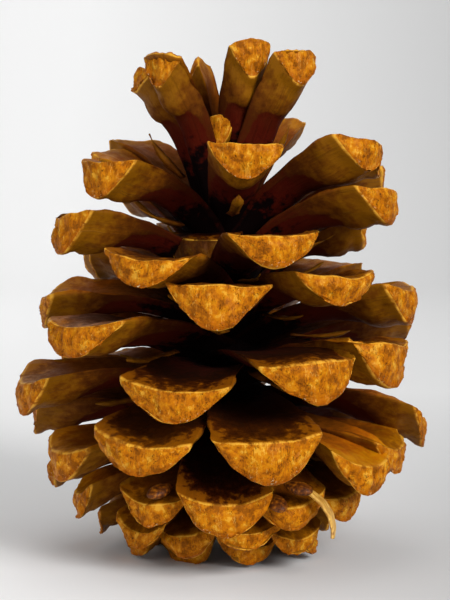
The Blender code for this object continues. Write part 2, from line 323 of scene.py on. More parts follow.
def pattern_scale():
    """A closed scale of rings: along the blade, over the rim, and in across the end face.

    Each row is a point: how far along the blade it is, how far across it from -1 to 1, how far down
    the end face it is from the upper side to the keel, and how far in from the rim. The powers crowd
    the points towards the corners, the rim and the umbo, where the shape turns most.
    """
    angle = (np.arange(AROUND) + 0.5) * math.tau / AROUND
    side, height = np.cos(angle), np.sin(angle)
    ring_across = np.sign(side) * np.abs(side) ** 0.8
    ring_facet = 0.5 - 0.5 * np.sign(height) * np.abs(height) ** 0.42
    blade = 0.985 - 0.97 * (1 - np.linspace(0, 1, BLADE_RINGS)) ** 1.35
    stops = [(along, 0.0) for along in blade]
    stops += [(1.0, inward) for inward in np.linspace(0.03 ** (1 / 1.25), 1, END_RINGS) ** 1.25]
    rows = []
    for along, inward in stops:
        across = ring_across * (1 - inward)
        facet = UMBO_PLACE + (ring_facet - UMBO_PLACE) * (1 - inward)
        for v, q in zip(across, facet):
            rows.append((along, v, q, inward))
            if inward == 1.0:
                break
    return np.array(rows)


def pattern_faces(count):
    """Rings joined by quads, closed by a fan at the umbo and by one face at the root."""
    rings = (count - 1) // AROUND
    faces = [tuple(range(AROUND))]
    for ring in range(rings - 1):
        for j in range(AROUND):
            a, b = ring * AROUND + j, ring * AROUND + (j + 1) % AROUND
            faces.append((b, a, a + AROUND, b + AROUND))
    last = (rings - 1) * AROUND
    faces += [(last + (j + 1) % AROUND, last + j, count - 1) for j in range(AROUND)]
    return faces


# %% The pattern scale's marks and shapes
def pattern_marks(rows):
    """Where a point lies, for the wood's colours: also in the hollow underneath, and on the rim."""
    along, across, facet, inward = rows.T
    hollow = (np.maximum(along - 0.3, 0) / 0.48) ** 2.6 + (np.abs(across) / 0.9) ** 3
    from_edge = np.where(along < 1, (1 - along) * 1.6, np.abs(inward - 0.03))
    return {
        "along": along,
        "across": across,
        "facet": facet,
        "inward": inward,
        "hollow": np.minimum(hollow, 2),
        "edge": np.maximum(0, 1 - from_edge / 0.055),
    }


def pattern_shapes(rows):
    """For each point: its move per metre of each size of a scale, and the move that all scales share.

    A blade is arched along its length and cupped across it, its end face hangs by its depth and juts
    out, its corners are rounded, and a bowl can be filled until the upper face is flat.
    """
    along, across, facet, inward = rows.T
    zero = np.zeros(len(rows))
    spread = CLAW_WIDTH + (1 - CLAW_WIDTH) * along**SPREAD_POWER
    swell = smooth_step(FACET_START, FACET_FULL, along)
    keel = 1 - np.abs(across) ** KEEL_POWER
    on_face = (along == 1) * keel
    in_hollow = smooth_step(1.15, 0.8, pattern_marks(rows)["hollow"])
    lip = np.exp(-(((along - 0.93) / 0.035) ** 2)) * (along < 1)
    umbo = np.exp(-(((facet - 0.96) / 0.09) ** 2) - (across / 0.11) ** 2) * on_face
    thickness = THIN_EDGE * (1 - keel) + BLADE_THICKNESS * keel * (1 - swell)
    raised = HOLLOW_DEPTH * keel * in_hollow + LIP_HEIGHT * keel * lip
    return {
        "by_length": (along, zero, zero),
        "by_arch": (zero, zero, 4 * along * (1 - along)),
        "by_width": (
            -RIM_SWEEP * along * np.abs(across) ** RIM_POWER,
            across * spread,
            CUP * (across * spread) ** 2,
        ),
        "by_depth": (
            FACE_BULGE * on_face * np.sin(math.pi * facet**0.8),
            zero,
            -keel * swell * facet,
        ),
        "by_jut": (keel * swell * facet, zero, zero),
        "by_droop": (zero, zero, -(along**2.5)),
        "by_twist": (zero, zero, across * spread * along),
        "by_round": (zero, zero, -(np.abs(across) ** KEEL_POWER - np.abs(across) ** 4) * swell * facet),
        "by_fill": (zero, zero, CUP * spread**2 * (1 - across**2) * (1 - facet) * smooth_step(0.3, 1, along)),
        "by_itself": (UMBO_HEIGHT * umbo - WORN_BACK * along, zero, (raised - thickness) * facet),
    }


# %% Make the pattern scale
def pattern_object(name, faces, shapes, marks):
    """A pattern: a mesh with all its points at the origin, which carries its shapes and its marks."""
    mesh = bpy.data.meshes.new(name)
    mesh.from_pydata([(0, 0, 0)] * len(marks["along"]), [], faces)
    for shape, parts in shapes.items():
        moves = np.stack(parts, 1).ravel()
        mesh.attributes.new(shape, "FLOAT_VECTOR", "POINT").data.foreach_set("vector", moves)
    for mark, values in marks.items():
        mesh.attributes.new(mark, "FLOAT", "POINT").data.foreach_set("value", values)
    print(name, len(marks["along"]), "points")
    return new_mesh_object(name, mesh)


rows = pattern_scale()
pattern = pattern_object("pattern_scale", pattern_faces(len(rows)), pattern_shapes(rows), pattern_marks(rows))

# %% [markdown]
# ## The bract under each scale
#
# Under every scale of a pine cone hides a bract, a thin dry leaf with a point. In an open cone they
# show as dark slivers in the gaps. A bract could be a flat card, but it is seen from its edge too,
# so it is a thin closed blade. It carries the same names for its shapes, so the same tree grows it.

# %% The pattern bract
BRACT_RINGS = 9
BRACT_START = 0.3
BRACT_REACH = 0.3
BRACT_WIDTH = 0.17
BRACT_THICKNESS = 0.0004
BRACT_DROP = 0.0022


def bract():
    """The thin pointed leaf under a scale, as rings of four points: left, top, right and bottom."""
    step = np.repeat(np.linspace(0, 1, BRACT_RINGS), 4)
    side = np.tile((-1.0, 0.0, 1.0, 0.0), BRACT_RINGS)
    top = np.tile((0.0, 1.0, 0.0, -1.0), BRACT_RINGS)
    zero = np.zeros(len(step))
    along = BRACT_START + BRACT_REACH * step
    unused = ("by_depth", "by_jut", "by_droop", "by_twist", "by_fill", "by_round")
    shapes = {name: (zero, zero, zero) for name in unused}
    shapes["by_length"] = (along, zero, zero)
    shapes["by_arch"] = (zero, zero, 4 * along * (1 - along))
    shapes["by_width"] = (zero, side * BRACT_WIDTH * (1.02 - step**1.6), zero)
    below = -BLADE_THICKNESS - BRACT_DROP * np.sin(step * 1.9) + top * BRACT_THICKNESS * (1.1 - step)
    shapes["by_itself"] = (zero, zero, below)
    marks = dict.fromkeys(("across", "inward", "edge"), zero)
    marks |= {"along": 0.72 + 0.24 * step, "facet": zero + 1, "hollow": zero + 2}
    faces = [(0, 1, 2, 3), tuple(4 * BRACT_RINGS - k for k in (1, 2, 3, 4))]
    for ring in range(BRACT_RINGS - 1):
        for k in range(4):
            a, b = 4 * ring + k, 4 * ring + (k + 1) % 4
            faces.append((b, a, a + 4, b + 4))
    return faces, shapes, marks


bract_pattern = pattern_object("pattern_bract", *bract())


# %% [markdown]
# ## Growing the cone with Geometry Nodes
#
# A seat mesh has one point for each scale, and carries what the rule says about it. Some more is
# drawn for each scale, as no two are alike: it droops or twists a little, its end is rounder near
# the base, and its upper face is bleached where the sun reached it. Copies could be made one by one
# in a loop, but a node tree keeps the growth in one place and shapes all the scales at once.

# %% Seats
SEAT_SIZES = (
    "length", "width", "arch", "depth", "jut", "droop", "twist", "fill", "round", "own", "golden",
)
# The scales are three pieces, and the bracts one: the pattern, the first scale and the one after the last.
BANDS = {
    "base_scales": (pattern, 0, 29),
    "belly_scales": (pattern, 29, 58),
    "crown_scales": (pattern, 58, SCALE_COUNT),
    "bracts": (bract_pattern, 22, 76),
}
# How far the bowl of a scale is filled, on the scales that show a flat upper face.
FILLED = {29: 0.4, 34: 0.5, 37: 1.0, 40: 0.3, 42: 0.6, 45: 0.9, 47: 0.4, 50: 0.6}
# How bleached a scale is, where it differs from the draw. At -1 the end face is painted near black, as
# painted shade on a stub that sits in shadow.
GOLDEN = {32: 1.0, 63: -1.0}
MOST_GOLDEN = 0.6
DROOPS = (-0.0006, 0.0008)
FIRST_DROOPING = 13
MOST_TWIST = 0.07


def seat_mesh(name, first, last):
    """One point for each scale from first up to last, with its root, its turn and its sizes."""
    seats = [seat(index) for index in range(first, last)]
    mesh = bpy.data.meshes.new(name)
    mesh.from_pydata([root for root, *_ in seats], [], [])
    roots = np.array([root for root, *_ in seats])
    mesh.attributes.new("root", "FLOAT_VECTOR", "POINT").data.foreach_set("vector", roots.ravel())
    turns = np.array([turned for _, turned, *_ in seats])
    mesh.attributes.new("turned", "QUATERNION", "POINT").data.foreach_set("value", turns.ravel())
    values = []
    for index, (_, turned, *sizes) in zip(range(first, last), seats):
        draw = random.Random(index * 77 + 5)
        droop = draw.uniform(*DROOPS) if index >= FIRST_DROOPING else 0.0
        twist = draw.uniform(-MOST_TWIST, MOST_TWIST)
        fill = FILLED.get(index, 0.0) * sizes[1]
        rounded = max(0.15, 0.9 - index / 45) * sizes[3]
        outwards = turned @ Vector((1, 0, 0))
        sunned = 0.5 * (1 + outwards.y / outwards.xy.length) + 0.1 * draw.random() + 0.12 * (index < 28)
        golden = GOLDEN.get(index, min(MOST_GOLDEN, sunned))
        values.append((*sizes, droop, twist, fill, rounded, draw.random(), golden))
    for size, column in zip(SEAT_SIZES, np.array(values).T):
        mesh.attributes.new(size, "FLOAT", "POINT").data.foreach_set("value", column)
    return mesh


# %% [markdown]
# The tree reads each size by its name. It puts the pattern on every seat and makes the copies real,
# adds up the shapes, turns the result to the seat's direction and moves it there. After that come
# two reliefs: broad lumps, because wood dries unevenly, and narrow wrinkles on the end face.


# %% From seats to scales
def scales_on_seats(tree, given):
    """Put the pattern on every seat, and give each copy its shape, its turn and its place."""
    sizes = ("length", "width", "arch", "depth", "jut", "droop", "fill", "round")
    kinds = dict.fromkeys(("twist", *sizes), "FLOAT")
    kinds |= dict.fromkeys(("root", "by_itself", "by_twist"), "FLOAT_VECTOR")
    kinds |= {"by_" + size: "FLOAT_VECTOR" for size in sizes} | {"turned": "QUATERNION"}
    read = {name: add(tree, READ, {"Name": name}, data_type=kind) for name, kind in kinds.items()}
    pattern_in = add(tree, "GeometryNodeObjectInfo", {"Object": given["Pattern"]}).outputs["Geometry"]
    placed = add(tree, "GeometryNodeInstanceOnPoints", {"Points": given["Seats"], "Instance": pattern_in})
    real = add(tree, "GeometryNodeRealizeInstances", {0: placed})
    shape = read["by_itself"]
    for size in sizes:
        shape = add(
            tree, VECTOR_MATH, {0: read["by_" + size], 1: read[size], 2: shape}, operation="MULTIPLY_ADD"
        )
    twist = add(tree, MATH, {0: read["twist"], 1: read["width"]}, operation="MULTIPLY")
    shape = add(tree, VECTOR_MATH, {0: read["by_twist"], 1: twist, 2: shape}, operation="MULTIPLY_ADD")
    turned = add(tree, "FunctionNodeRotateVector", {"Vector": shape, "Rotation": read["turned"]})
    place = add(tree, VECTOR_MATH, {0: turned, 1: read["root"]}, operation="ADD")
    return add(tree, "GeometryNodeSetPosition", {"Geometry": real, "Position": place})


# %% Lumps and wrinkles
def with_lumps(tree, geometry, given):
    """Smooth noise in space, stronger towards the end of the scale."""
    lump_scale = add(tree, MATH, {0: 1.0, 1: given["Lump Size"]}, operation="DIVIDE")
    here = add(tree, "GeometryNodeInputPosition")
    lump = add(tree, NOISE, {"Vector": here, "Scale": lump_scale, "Detail": 3.0}, normalize=False)
    along = add(tree, READ, {"Name": "along"}, data_type="FLOAT")
    outer = add(tree, RANGE, {0: along, 1: 0.35, 2: 0.9, 3: 0.25, 4: 1.0})
    height = add(tree, MATH, {0: lump, 1: given["Lump Height"]}, operation="MULTIPLY")
    height = add(tree, MATH, {0: height, 1: outer}, operation="MULTIPLY")
    normal = add(tree, "GeometryNodeInputNormal")
    offset = add(tree, VECTOR_MATH, {0: normal, 1: height}, operation="MULTIPLY")
    return add(tree, "GeometryNodeSetPosition", {"Geometry": geometry, "Offset": offset})


def with_wrinkles(tree, geometry, given):
    """Noise that changes quickly across the end face and slowly down it, and fades at the umbo."""
    across, width, facet, own, inward = (
        add(tree, READ, {"Name": name}, data_type="FLOAT")
        for name in ("across", "width", "facet", "own", "inward")
    )
    sideways = add(tree, MATH, {0: across, 1: width}, operation="MULTIPLY")
    sideways = add(tree, MATH, {0: sideways, 1: given["Wrinkle Spacing"]}, operation="DIVIDE")
    down = add(tree, MATH, {0: facet, 1: 0.9}, operation="MULTIPLY")
    # Each scale reads another layer of the noise, so no two have the same wrinkles.
    layer = add(tree, MATH, {0: own, 1: 40.0}, operation="MULTIPLY")
    lane = add(tree, COMBINE, {"X": sideways, "Y": down, "Z": layer})
    look = {"Vector": lane, "Scale": 1.0, "Detail": 2.0, "Roughness": 0.6}
    wrinkle = add(tree, NOISE, look, normalize=False)
    on_end = add(tree, RANGE, {0: inward, 1: 0.0, 2: 0.12})
    off_umbo = add(tree, RANGE, {0: inward, 1: 0.95, 2: 0.6})
    height = add(tree, MATH, {0: wrinkle, 1: given["Wrinkle Height"]}, operation="MULTIPLY")
    height = add(tree, MATH, {0: height, 1: on_end}, operation="MULTIPLY")
    height = add(tree, MATH, {0: height, 1: off_umbo}, operation="MULTIPLY")
    normal = add(tree, "GeometryNodeInputNormal")
    offset = add(tree, VECTOR_MATH, {0: normal, 1: height}, operation="MULTIPLY")
    return add(tree, "GeometryNodeSetPosition", {"Geometry": geometry, "Offset": offset})


# %% The growing tree
FLOOR_GAP = 0.00002
TREE_INPUTS = {
    "Pattern": "Object",
    "Lump Height": "Float",
    "Lump Size": "Float",
    "Wrinkle Height": "Float",
    "Wrinkle Spacing": "Float",
    "Wood": "Material",
}


def growing_tree():
    """The Geometry Nodes tree that turns seats into scales."""
    tree = bpy.data.node_groups.new("grow_scales", "GeometryNodeTree")
    tree.interface.new_socket("Seats", in_out="INPUT", socket_type="NodeSocketGeometry")
    for name, kind in TREE_INPUTS.items():
        tree.interface.new_socket(name, in_out="INPUT", socket_type="NodeSocket" + kind)
    tree.interface.new_socket("Scales", in_out="OUTPUT", socket_type="NodeSocketGeometry")
    given = add(tree, "NodeGroupInput").outputs
    scales = scales_on_seats(tree, given)
    scales = with_wrinkles(tree, with_lumps(tree, scales, given), given)
    # Nothing goes below the floor: the lowest scales are worn flat where the cone stands.
    now = add(tree, "ShaderNodeSeparateXYZ", {0: add(tree, "GeometryNodeInputPosition")}).outputs
    above_floor = add(tree, MATH, {0: now["Z"], 1: FLOOR_GAP}, operation="MAXIMUM")
    held = add(tree, COMBINE, {"X": now["X"], "Y": now["Y"], "Z": above_floor})
    standing = add(tree, "GeometryNodeSetPosition", {"Geometry": scales, "Position": held})
    smooth = add(tree, "GeometryNodeSetShadeSmooth", {0: standing})
    done = add(tree, "GeometryNodeSetMaterial", {"Geometry": smooth, "Material": given["Wood"]})
    add(tree, "NodeGroupOutput", {"Scales": done})
    return tree


def run_tree(tree, obj, values):
    """Run a Geometry Nodes tree on an object once, and keep the result as a plain mesh."""
    step = obj.modifiers.new("grow", "NODES")
    step.node_group = tree
    for item in tree.interface.items_tree:
        if item.in_out == "INPUT" and item.name in values:
            step[item.identifier] = values[item.name]
    bpy.context.view_layer.update()
    mesh = bpy.data.meshes.new_from_object(obj.evaluated_get(bpy.context.evaluated_depsgraph_get()))
    obj.modifiers.clear()
    obj.data = mesh
    return mesh


# %% [markdown]
# ## Dry pine wood
#
# The wood of an open cone has several faces. The end of a scale has been in the sun: it is golden
# ochre, waxy, cracked from rim to keel, and palest along its worn ridges. The blade behind it was
# shut away while the cone was closed, and is red-brown. Painted shade darkens it to almost black at
# the spindle, and in the hollow under it.


# %% What the wood's colours go by
def wood_marks(tree):
    """The marks that the scales carry and the noise that breaks them up, by name."""
    names = ("along", "across", "facet", "inward", "hollow", "edge", "own", "golden")
    seen = {name: add(tree, "ShaderNodeAttribute", attribute_name=name).outputs["Fac"] for name in names}
    place = add(tree, "ShaderNodeTexCoord").outputs["Object"]
    # Cells in a metre: patches of 2.6 mm, tones of 1.6 mm, and fine flecks of 0.4 mm. Real flecks are
    # finer still, and are drawn this coarse to show at all.
    for name, scale, detail in (("patches", 380, 4.0), ("tones", 640, 4.0), ("fine", 2600, 2.0)):
        seen[name] = add(tree, NOISE, {"Vector": place, "Scale": scale, "Detail": detail, "Roughness": 0.6})
    # The grain runs from the rim to the keel: 35 cells across a scale 17 mm wide, 0.5 mm each.
    sideways = add(tree, MATH, {0: seen["across"], 1: 11.0}, operation="MULTIPLY")
    down = add(tree, MATH, {0: seen["facet"], 1: 1.1}, operation="MULTIPLY")
    layer = add(tree, MATH, {0: seen["own"], 1: 60.0}, operation="MULTIPLY")
    lane = add(tree, COMBINE, {0: sideways, 1: down, 2: layer})
    seen["grain"] = add(tree, NOISE, {"Vector": lane, "Scale": 1.6, "Detail": 3.0, "Roughness": 0.65})
    # A crack, or a pale fibre, is a thin line where the grain passes through one value.
    lines = (("crack", 0.5, 0.016, 0.44, 0.5), ("fibre", 0.6, 0.014, 0.52, 0.46))
    for name, value, width, low, high in lines:
        off = add(tree, MATH, {0: seen["grain"], 1: value}, operation="SUBTRACT")
        off = add(tree, MATH, {0: off}, operation="ABSOLUTE")
        line = add(tree, RANGE, {0: off, 1: 0.0, 2: width, 3: 1.0, 4: 0.0})
        where = add(tree, RANGE, {0: seen["patches"], 1: low, 2: high})
        seen[name] = add(tree, MATH, {0: line, 1: where}, operation="MULTIPLY")
    return seen


# %% Colour of the blade
def blade_colour(tree, seen):
    """Red-brown towards the rim, with painted shade: black at the spindle, and a dark hollow underneath."""
    ragged = add(tree, RANGE, {0: seen["tones"], 1: 0.3, 2: 0.7, 3: -0.12, 4: 0.12})
    reach = add(tree, MATH, {0: seen["along"], 1: ragged}, operation="ADD")
    sides = add(tree, MATH, {0: seen["across"]}, operation="ABSOLUTE")
    sides = add(tree, MATH, {0: sides, 1: 3.0}, operation="POWER")
    sides = add(tree, MATH, {0: sides, 1: 0.16}, operation="MULTIPLY")
    near_rim = add(tree, MATH, {0: reach, 1: sides}, operation="ADD")
    # Painted shade: the upper face darkens from the rim inward, to near black deep between the scales.
    shaded = ((0.3, "#0a0000"), (0.42, "#300802"), (0.7, "#120300"), (0.86, "#260900"), (0.95, "#461c02"))
    upper = add(tree, RAMP, {0: near_rim}, stops=(*shaded, (1.03, "#7c4405")))
    bleached = ((0.25, "#301202"), (0.55, "#7a4006"), (0.8, "#a55504"), (1.0, "#b97605"))
    sunned = add(tree, RAMP, {0: reach}, stops=bleached)
    upper = add(tree, MIX, {0: seen["golden"], 6: upper, 7: sunned}, data_type="RGBA")
    # Painted shade here too: the underside darkens towards the spindle.
    bark = ((0.25, "#160200"), (0.4, "#4a1203"), (0.65, "#4c2203"), (0.82, "#6c3b05"), (0.95, "#845208"))
    margin = add(tree, RAMP, {0: reach}, stops=bark)
    # Painted shade: the middle of the underside is painted dark, as shade in its hollow.
    shaded_underside = add(tree, RAMP, {0: reach}, stops=((0.34, "#0a0000"), (0.46, "#4a0e02"), (0.78, "#4a1603")))
    ragged = add(tree, RANGE, {0: seen["tones"], 1: 0.3, 2: 0.7, 3: -0.1, 4: 0.1})
    hollow = add(tree, MATH, {0: seen["hollow"], 1: ragged}, operation="ADD")
    hollow = add(tree, RANGE, {0: hollow, 1: 0.9, 2: 1.02, 3: 1.0, 4: 0.0})
    lower = add(tree, MIX, {0: hollow, 6: margin, 7: shaded_underside}, data_type="RGBA")
    underneath = add(tree, RANGE, {0: seen["facet"], 1: 0.3, 2: 0.6})
    return add(tree, MIX, {0: underneath, 6: upper, 7: lower}, data_type="RGBA")


# %% Colour of the end face
def end_colour(tree, seen):
    """Golden ochre in patches, orange-brown by the umbo, with fibres, cracks, specks and resin."""
    ochres = ((0.4, "#8a4c04"), (0.43, "#a45c04"), (0.5, "#b06404"), (0.53, "#bc7206"), (0.6, "#c0780a"))
    gold = add(tree, RAMP, {0: seen["tones"]}, stops=(*ochres, (0.63, "#d29428")))
    ragged = add(tree, RANGE, {0: seen["tones"], 1: 0.3, 2: 0.7, 3: -0.15, 4: 0.15})
    low = add(tree, MATH, {0: seen["facet"], 1: ragged}, operation="ADD")
    low = add(tree, RANGE, {0: low, 1: 0.75, 2: 1.0})
    low = add(tree, MATH, {0: low, 1: 0.6}, operation="MULTIPLY")
    fibre = add(tree, MATH, {0: seen["fibre"], 1: 0.8}, operation="MULTIPLY")
    crack = add(tree, MATH, {0: seen["crack"], 1: 0.9}, operation="MULTIPLY")
    in_patch = add(tree, RANGE, {0: seen["patches"], 1: 0.5, 2: 0.56})
    speck = add(tree, RANGE, {0: seen["fine"], 1: 0.36, 2: 0.34})
    speck = add(tree, MATH, {0: speck, 1: in_patch}, operation="MULTIPLY")
    speck = add(tree, MATH, {0: speck, 1: 0.85}, operation="MULTIPLY")
    # Painted shade: a stub's end face, at golden -1, is painted near black.
    stub_shade = add(tree, RANGE, {0: seen["golden"], 1: -0.9, 2: -0.1, 3: 0.85, 4: 0.0})
    near_keel = add(tree, RANGE, {0: seen["facet"], 1: 0.8, 2: 0.95})
    resin = add(tree, RANGE, {0: seen["fine"], 1: 0.62, 2: 0.66})
    resin = add(tree, MATH, {0: resin, 1: near_keel}, operation="MULTIPLY")
    resin = add(tree, MATH, {0: resin, 1: in_patch}, operation="MULTIPLY")
    coats = (
        (low, "#954200"),
        (fibre, "#e2b050"),
        (crack, "#4a2002"),
        (speck, "#3a1c02"),
        (stub_shade, "#2a0e02"),
        (resin, "#cdb98c"),
    )
    for share, colour in coats:
        gold = add(tree, MIX, {0: share, 6: gold, 7: linear(colour)}, data_type="RGBA")
    return gold


# %% Scale wood
def scale_wood():
    """Dry pine scale: matt wood that weathered by itself, with a faint wax on the sunned ends."""
    material, tree = new_material("dry_pine_scale")
    seen = wood_marks(tree)
    on_end = add(tree, RANGE, {0: seen["inward"], 1: 0.0, 2: 0.03})
    blade, end = blade_colour(tree, seen), end_colour(tree, seen)
    colour = add(tree, MIX, {0: on_end, 6: blade, 7: end}, data_type="RGBA")
    # The rim and the keel are rubbed pale, in places.
    on_ridge = add(tree, RANGE, {0: seen["edge"], 1: 0.6, 2: 0.9})
    rubbed = add(tree, RANGE, {0: seen["tones"], 1: 0.4, 2: 0.56, 3: 0.1, 4: 0.95})
    worn = add(tree, MATH, {0: on_ridge, 1: rubbed}, operation="MULTIPLY")
    colour = add(tree, MIX, {0: worn, 6: colour, 7: linear("#dba033")}, data_type="RGBA")
    # Cracks are cut in, and the grain and the flecks stand up, by up to 0.3 mm.
    height = add(tree, MATH, {0: seen["grain"], 1: 0.6}, operation="MULTIPLY")
    height = add(tree, MATH, {0: seen["crack"], 1: -0.7, 2: height}, operation="MULTIPLY_ADD")
    height = add(tree, MATH, {0: seen["fine"], 1: 0.2, 2: height}, operation="MULTIPLY_ADD")
    bump = add(tree, "ShaderNodeBump", {"Strength": 0.6, "Distance": 0.0003, "Height": height})
    # The inner blade is rougher than the end, where wax and resin give a soft, patchy gloss.
    inner = add(tree, RANGE, {0: seen["along"], 1: 0.6, 2: 0.95, 3: 0.35, 4: 0.0})
    patchy = add(tree, RANGE, {0: seen["tones"], 1: 0.35, 2: 0.65, 3: 0.55, 4: 0.38})
    rough = add(tree, MATH, {0: inner, 1: patchy}, operation="ADD")
    shader = add(
        tree,
        "ShaderNodeBsdfPrincipled",
        {"Base Color": colour, "Roughness": rough, "Normal": bump, "Specular IOR Level": 0.06},
    )
    add(tree, "ShaderNodeOutputMaterial", {"Surface": shader})
    return material


# %% [markdown]
# The tree now runs once for each band. Its result is kept as a plain mesh, because the copies have
# to be real when the model is exported. One mesh for the whole cone would be heavy to work with, so
# there are three bands of scales, and the bracts.

# %% Grow the scales and the bracts
RELIEF = {"Lump Height": 0.0009, "Lump Size": 0.009, "Wrinkle Height": 0.0005, "Wrinkle Spacing": 0.0011}

wood = scale_wood()
tree = growing_tree()
for name, (grown_from, first, last) in BANDS.items():
    piece = new_mesh_object(name, seat_mesh(name, first, last))
    mesh = run_tree(tree, piece, {"Pattern": grown_from, "Wood": wood, **RELIEF})
    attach(piece, "root")
    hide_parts("pine_cone")
    print(name, sum(len(face.vertices) - 2 for face in mesh.polygons), "triangles")
for used in (pattern, bract_pattern):
    bpy.data.objects.remove(used)


# %% [markdown]
# ## The spindle
#
# The scales grow out of a woody spindle. It shows only as darkness between them, but without it one
# could look through the cone. It is round, so a line of radius against height, spun about the
# cone's axis, is all it needs. The claws of the scales cover it, so no relief is spent on it.

# %% Spindle
# Radius and height, in mm.
SPINDLE = (
    (0.0, 3.4),
    (3.6, 3.4),
    (4.0, 6.0),
    (5.0, 12.0),
    (5.6, 22.0),
    (5.4, 36.0),
    (4.6, 50.0),
    (3.4, 62.0),
    (1.8, 66.0),
    (0.0, 66.2),
)


def spindle_mesh():
    """The line spun about the axis, with its doubles merged before its faces are turned outwards."""
    body = bmesh.new()
    line = [body.verts.new(AXIS + Vector((radius, 0, height)) * 0.001) for radius, height in SPINDLE]
    edges = [body.edges.new(pair) for pair in zip(line, line[1:])]
    bmesh.ops.spin(body, geom=line + edges, cent=AXIS, axis=(0, 0, 1), angle=math.tau, steps=40)
    bmesh.ops.remove_doubles(body, verts=body.verts, dist=1e-6)
    bmesh.ops.recalc_face_normals(body, faces=body.faces)
    mesh = bpy.data.meshes.new("spindle")
    body.to_mesh(mesh)
    body.free()
    return mesh


spindle = new_mesh_object("spindle", spindle_mesh())
spindle.data.materials.append(wood)
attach(spindle, "root")
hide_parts("pine_cone")
print("spindle", len(spindle.data.polygons), "faces")


# %% [markdown]
# ## Seeds left behind
#
# Two bare seeds lie on the lower scales, and a third still has its wing. A seed is a flattened drop
# with a slightly dented coat, so a sphere is drawn out and dented point by point. The wing is a
# papery blade that curves down as it dries. It could be a plane with Solidify, but a loop of points
# round each step of its centre line gives a closed blade at once, thin at its edges and frayed.

# %% Places and sizes of the seeds
# Middle in mm, then its tip and its turn in degrees.
BARE_SEEDS = {
    "seed_1": ((-10.14, -22.13, 14.91), 20.0, 45.0),
    "seed_2": ((8.39, -24.98, 13.54), 20.0, 110.0),
}
WINGED_SEED = ((11.75, -23.56, 15.66), 20.0, 150.0)
SEED_LENGTH, SEED_WIDTH, SEED_THICKNESS, SEED_TAPER = 0.0052, 0.0030, 0.0019, 0.75
SEED_SHARE = 0.985

# The wing's centre line from the seed, and its width there, both in mm.
WING_LINE = (
    (0.6, 0, 0),
    (2.3, 0, -0.9),
    (4.0, 0.1, -2.4),
    (5.2, 0.3, -4.4),
    (5.7, 0.6, -6.6),
    (5.6, 0.9, -8.2),
)
WING_WIDTHS = (1.6, 2.2, 2.8, 3.0, 2.4, 1.2)
WING_ACROSS = Vector((0.3, 1.0, 0.1)).normalized()
WING_THICKNESS = 0.0007
WING_SEED = 3
FRAY = 0.04


# %% Shape of a seed
def seed_mesh(name, middle, tip, turn):
    """A flattened drop, lying as the solid seed does, with shallow dents."""
    body = bmesh.new()
    bmesh.ops.create_uvsphere(body, u_segments=48, v_segments=28, radius=0.5)
    for vert in body.verts:
        y, z, x = vert.co
        narrow = 1 - SEED_TAPER * max(0.0, x) ** 1.3
        dent = 1 - 0.05 * math.sin(9 * x + 4 * y) * math.cos(7 * y)
        drop = Vector((x * SEED_LENGTH, y * narrow * SEED_WIDTH, z * narrow * SEED_THICKNESS * dent))
        vert.co = drop * SEED_SHARE
    mesh = bpy.data.meshes.new(name)
    body.to_mesh(mesh)
    body.free()
    lie = Matrix.Rotation(math.radians(tip), 4, "X") @ Matrix.Rotation(math.radians(turn), 4, "Z")
    mesh.transform(Matrix.Translation(Vector(middle) * 0.001) @ lie)
    mesh.shade_smooth()
    return mesh


# %% Shape of the wing
def wing_mesh(name, steps=44, sides=14):
    """The wing as a closed thin blade: a smooth centre line, a section thin at its edges and a frayed edge.
    """
    stops = np.linspace(0, len(WING_LINE) - 1, steps)
    knots = range(len(WING_LINE))
    middle = np.stack([np.interp(stops, knots, [row[i] for row in WING_LINE]) for i in range(3)], 1)
    widths = np.interp(stops, knots, WING_WIDTHS)
    kernel = np.array([1, 2, 3, 2, 1]) / 9
    for i in range(3):
        middle[2:-2, i] = np.convolve(middle[:, i], kernel, "valid")
    draw = random.Random(WING_SEED)
    points, faces = [], []
    for i, (centre, width) in enumerate(zip(middle, widths)):
        centre = Vector(centre) * 0.001
        ahead = Vector(middle[min(i + 1, steps - 1)] - middle[max(i - 1, 0)]).normalized()
        through = ahead.cross(WING_ACROSS).normalized()
        half = width * 0.0005 * (1 - FRAY * draw.random()) * 0.98
        for k in range(2 * sides):
            across = 1 - 2 * (k % sides) / (sides - 1)
            face = 1 if k < sides else -1
            across *= face
            thick = face * WING_THICKNESS * 0.42 * math.sqrt(max(0.0, 1 - across**6))
            points.append(centre + WING_ACROSS * half * across + through * thick)
    ring = 2 * sides
    for i in range(steps - 1):
        for k in range(ring):
            a, b = i * ring + k, i * ring + (k + 1) % ring
            faces.append((a, b, b + ring, a + ring))
    faces += [tuple(range(ring)), tuple(range((steps - 1) * ring, steps * ring))[::-1]]
    mesh = bpy.data.meshes.new(name)
    mesh.from_pydata(points, [], faces)
    body = bmesh.new()
    body.from_mesh(mesh)
    bmesh.ops.recalc_face_normals(body, faces=body.faces)
    body.to_mesh(mesh)
    body.free()
    mesh.transform(Matrix.Translation(Vector(WINGED_SEED[0]) * 0.001))
    mesh.shade_smooth()
    return mesh


# %% [markdown]
# ## Seed coat and wing
#
# A pine seed has a hard, smooth coat, mottled in two browns, so it shines more than the wood. The
# wing is dry plant skin: pale, matt, and marked by darker veins that run along it. Both patterns are
# noise in space, and for the veins it is drawn out along the wing.


